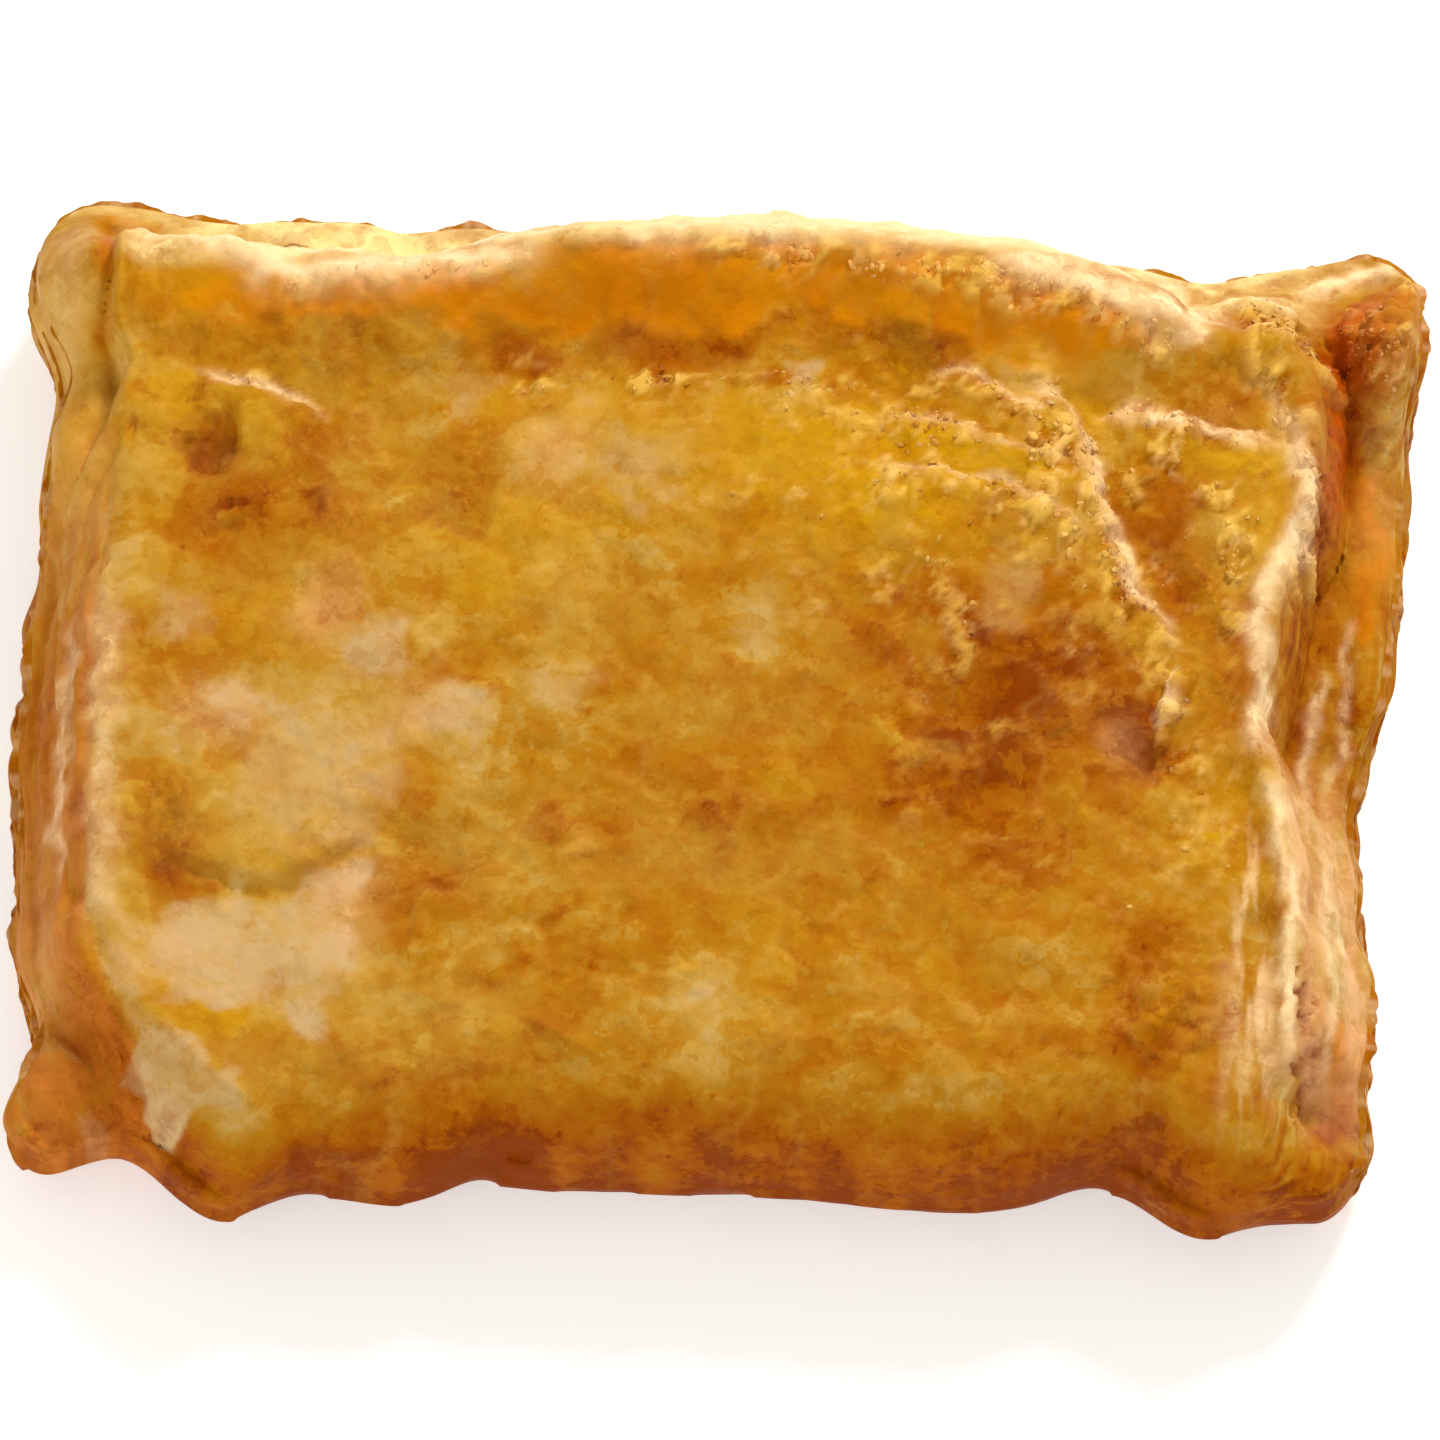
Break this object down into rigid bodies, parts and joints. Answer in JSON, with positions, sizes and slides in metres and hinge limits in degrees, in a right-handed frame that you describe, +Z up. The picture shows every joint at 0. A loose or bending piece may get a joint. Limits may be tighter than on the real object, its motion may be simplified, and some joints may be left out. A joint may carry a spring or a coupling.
{
  "type": "chicken pie",
  "caption": "Rectangular hand-held puff-pastry pie, folded along one long side and sealed in flaky layers round the other three.",
  "frame": {"origin": "centre of the flat base, under the middle of the pie's box", "axes": "+X along the pie's length, +Y towards the sealed back with the high crest, -Y towards the round fold at the front, +Z up"},
  "size_m": [0.1293, 0.1, 0.0362],
  "materials": {
    "pastry": null
  },
  "bodies": {
    "root": {"pastry": "pastry"}
  },
  "joints": []
}
